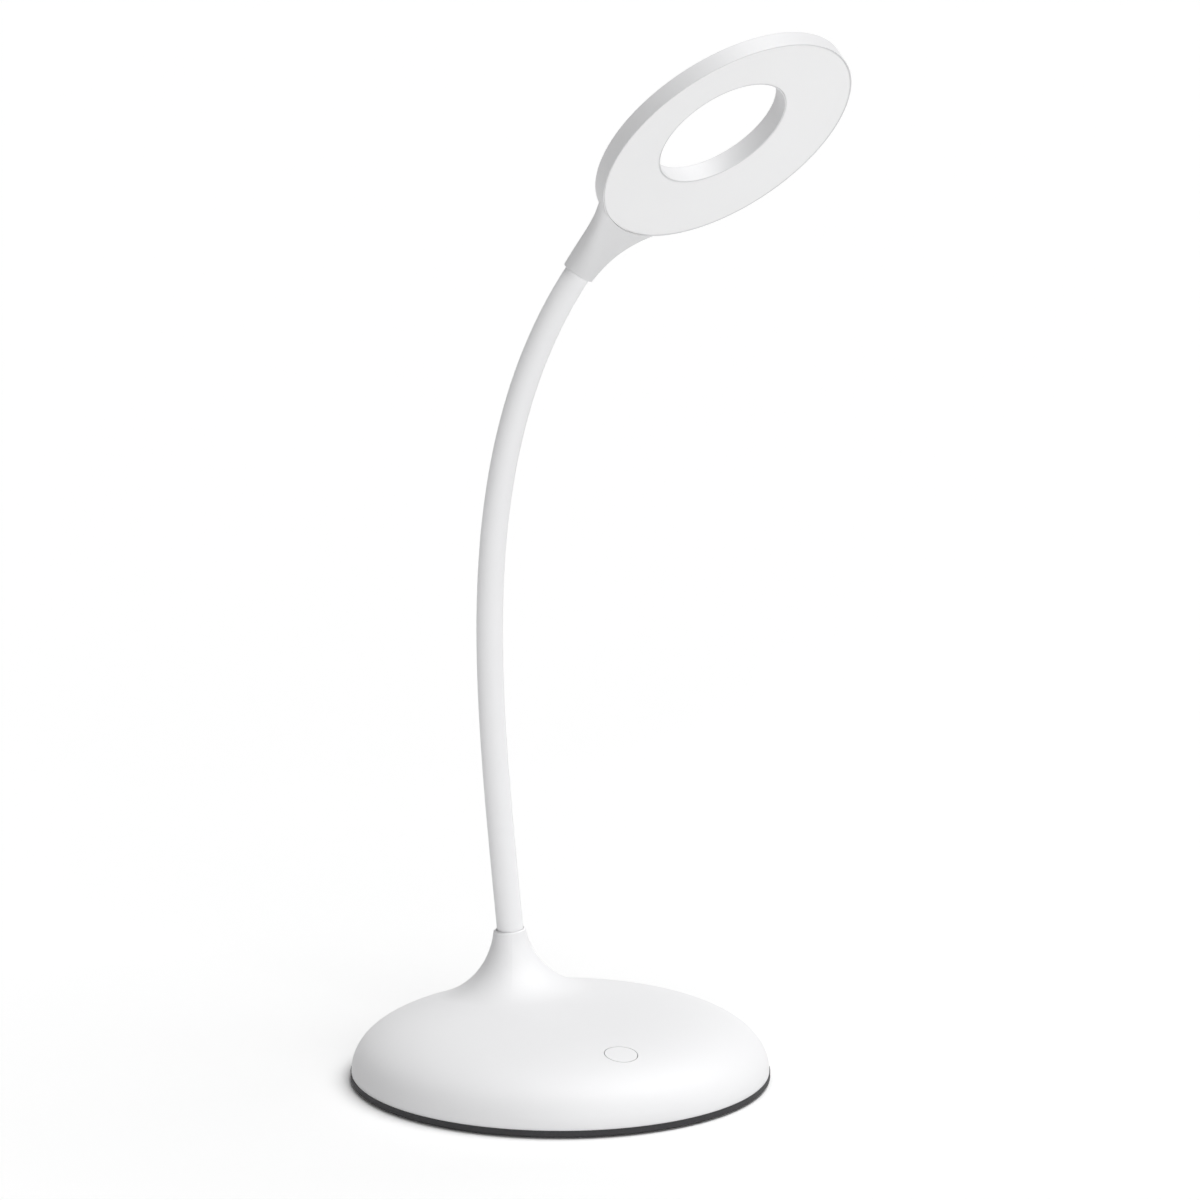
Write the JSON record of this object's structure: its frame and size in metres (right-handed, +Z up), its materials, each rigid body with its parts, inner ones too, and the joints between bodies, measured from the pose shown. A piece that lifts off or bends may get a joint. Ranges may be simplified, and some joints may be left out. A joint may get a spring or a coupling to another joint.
{
  "type": "table lamp",
  "caption": "Cordless table lamp with a pebble-shaped base, flush power button, bendable gooseneck and a slim ring-shaped LED head behind an opal diffuser.",
  "frame": {"origin": "centre of the foot pad's underside, on the table", "axes": "+Z up, -Y to the front where the button is, +Y to the rear where the charging socket is"},
  "size_m": [0.1818, 0.1406, 0.3578],
  "materials": {
    "cover_plastic": "white moulded plastic, satin gloss",
    "plate_plastic": "dark grey moulded plastic, fine grain",
    "pad_rubber": "matte anti-slip foam rubber",
    "ballast_steel": "zinc-plated mild steel",
    "adhesive_foam": "double-sided foam tape",
    "battery_foil": "laminated pouch foil",
    "board_laminate": "green solder mask on glass laminate",
    "switch_plastic": "black moulded plastic",
    "socket_steel": "drawn stainless steel",
    "screw_steel": "zinc-plated steel",
    "ferrule_brass": "turned brass",
    "lead_insulation": "soft extruded insulation",
    "neck_silicone": "smooth white silicone sleeve",
    "core_steel": "wound steel wire",
    "head_plastic": "white moulded plastic, satin gloss",
    "diffuser_opal": "frosted opal acrylic",
    "led_laminate": "white solder mask",
    "led_phosphor": "phosphor gel in a white package"
  },
  "bodies": {
    "base": {"base_cover": "cover_plastic", "bottom_plate": "plate_plastic", "foot_pad": "pad_rubber", "ballast_plate": "ballast_steel", "battery_pad": "adhesive_foam", "battery_cell": "battery_foil", "control_board": "board_laminate", "switch_body": "switch_plastic", "charge_board": "board_laminate", "charge_socket": "socket_steel", "cover_screws": "screw_steel", "ballast_screws": "screw_steel", "board_screws": "screw_steel", "charge_board_screws": "screw_steel", "neck_ferrule": "ferrule_brass", "neck_washer": "screw_steel", "neck_nut": "ferrule_brass", "battery_lead": "lead_insulation", "charge_lead": "lead_insulation", "neck_sleeve_1": "neck_silicone", "neck_core_1": "core_steel", "neck_lead_1": "lead_insulation"},
    "button": {"button_cap": "cover_plastic", "switch_plunger": "switch_plastic"},
    "neck_2": {"neck_sleeve_2": "neck_silicone", "neck_core_2": "core_steel", "neck_lead_2": "lead_insulation"},
    "neck_3": {"neck_sleeve_3": "neck_silicone", "neck_core_3": "core_steel", "neck_lead_3": "lead_insulation"},
    "neck_4": {"neck_sleeve_4": "neck_silicone", "neck_core_4": "core_steel", "neck_lead_4": "lead_insulation"},
    "neck_5": {"neck_sleeve_5": "neck_silicone", "neck_core_5": "core_steel", "neck_lead_5": "lead_insulation"},
    "neck_6": {"neck_sleeve_6": "neck_silicone", "neck_core_6": "core_steel", "neck_lead_6": "lead_insulation"},
    "neck_7": {"neck_sleeve_7": "neck_silicone", "neck_core_7": "core_steel", "neck_lead_7": "lead_insulation"},
    "neck_8": {"neck_sleeve_8": "neck_silicone", "neck_core_8": "core_steel", "neck_lead_8": "lead_insulation"},
    "head": {"head_shell": "head_plastic", "head_ferrule": "ferrule_brass", "diffuser": "diffuser_opal", "led_board": "led_laminate", "leds": "led_phosphor", "neck_sleeve_9": "neck_silicone", "neck_core_9": "core_steel", "neck_lead_9": "lead_insulation"}
  },
  "joints": [
    {"name": "button_press", "type": "slide", "parent": "base", "child": "button", "axis": [0, 0.1963, -0.9805], "range_m": [0, 0.0008], "stiffness_N_per_m": 800},
    {"name": "neck_bend_1", "type": "hinge", "parent": "base", "child": "neck_2", "pos_m": [-0.00144, 0.03957, 0.05813], "axis": [-0.2504, -0.9681, 0], "range_deg": [-25, 25]},
    {"name": "neck_sway_2", "type": "hinge", "parent": "neck_2", "child": "neck_3", "pos_m": [-0.00387, 0.0402, 0.08663], "axis": [0.9648, -0.2495, 0.0828], "range_deg": [-25, 25]},
    {"name": "neck_bend_3", "type": "hinge", "parent": "neck_3", "child": "neck_4", "pos_m": [-0.0058, 0.0407, 0.11518], "axis": [-0.2504, -0.9681, 0], "range_deg": [-25, 25]},
    {"name": "neck_sway_4", "type": "hinge", "parent": "neck_4", "child": "neck_5", "pos_m": [-0.00668, 0.04093, 0.14378], "axis": [0.9681, -0.2504, 0.0076], "range_deg": [-25, 25]},
    {"name": "neck_bend_5", "type": "hinge", "parent": "neck_5", "child": "neck_6", "pos_m": [-0.00586, 0.04072, 0.17237], "axis": [-0.2504, -0.9681, 0], "range_deg": [-25, 25]},
    {"name": "neck_sway_6", "type": "hinge", "parent": "neck_6", "child": "neck_7", "pos_m": [-0.00259, 0.03987, 0.20077], "axis": [0.9542, -0.2468, -0.1692], "range_deg": [-25, 25]},
    {"name": "neck_bend_7", "type": "hinge", "parent": "neck_7", "child": "neck_8", "pos_m": [0.00393, 0.03818, 0.22856], "axis": [-0.2504, -0.9681, 0], "range_deg": [-25, 25]},
    {"name": "neck_sway_8", "type": "hinge", "parent": "neck_8", "child": "head", "pos_m": [0.01449, 0.03545, 0.25498], "axis": [0.8602, -0.2225, -0.4589], "range_deg": [-25, 25]}
  ]
}
